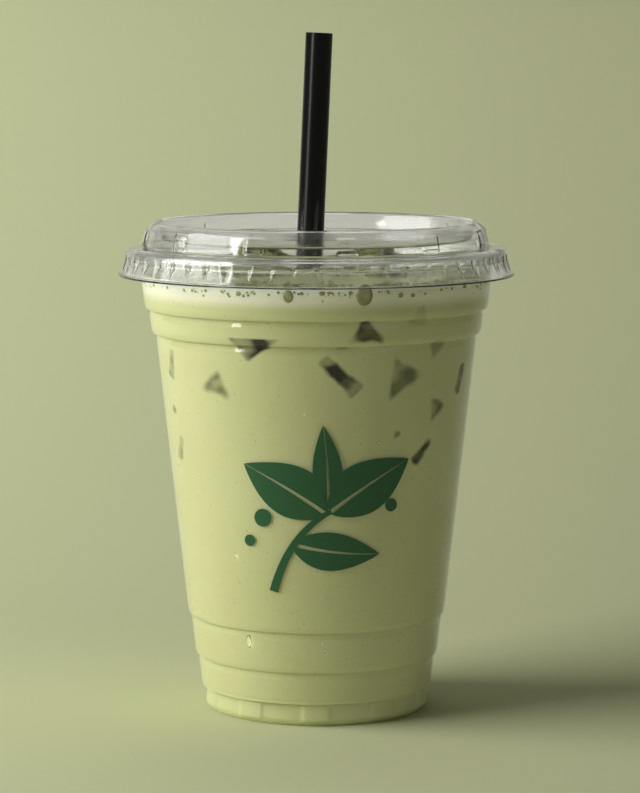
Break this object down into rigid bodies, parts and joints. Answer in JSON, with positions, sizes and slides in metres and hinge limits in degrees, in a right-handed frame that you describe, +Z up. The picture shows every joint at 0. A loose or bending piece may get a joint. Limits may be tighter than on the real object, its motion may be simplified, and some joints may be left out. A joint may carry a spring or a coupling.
{
  "type": "iced matcha latte in a lidded clear plastic cup",
  "caption": "Iced milky green tea drink in a stepped clear cup with a flat clear lid, floating ice and a straight black straw.",
  "frame": {"origin": "centre of the circle that the cup stands on", "axes": "+Z up along the cup's axis; the straw leans towards +X; -Y faces the viewer"},
  "size_m": [0.1028, 0.1028, 0.1762],
  "materials": {
    "clear_cup": "clear thermoformed PET, gloss",
    "clear_lid": "clear thermoformed PET, gloss",
    "black_straw": "black extruded polypropylene, satin gloss",
    "milky_tea": "opaque milky green liquid",
    "ice": "wet melting ice"
  },
  "bodies": {
    "root": {"cup": "clear_cup", "lid": "clear_lid", "straw": "black_straw", "drink": "milky_tea", "ice_left": "ice", "ice_right": "ice"}
  },
  "joints": []
}
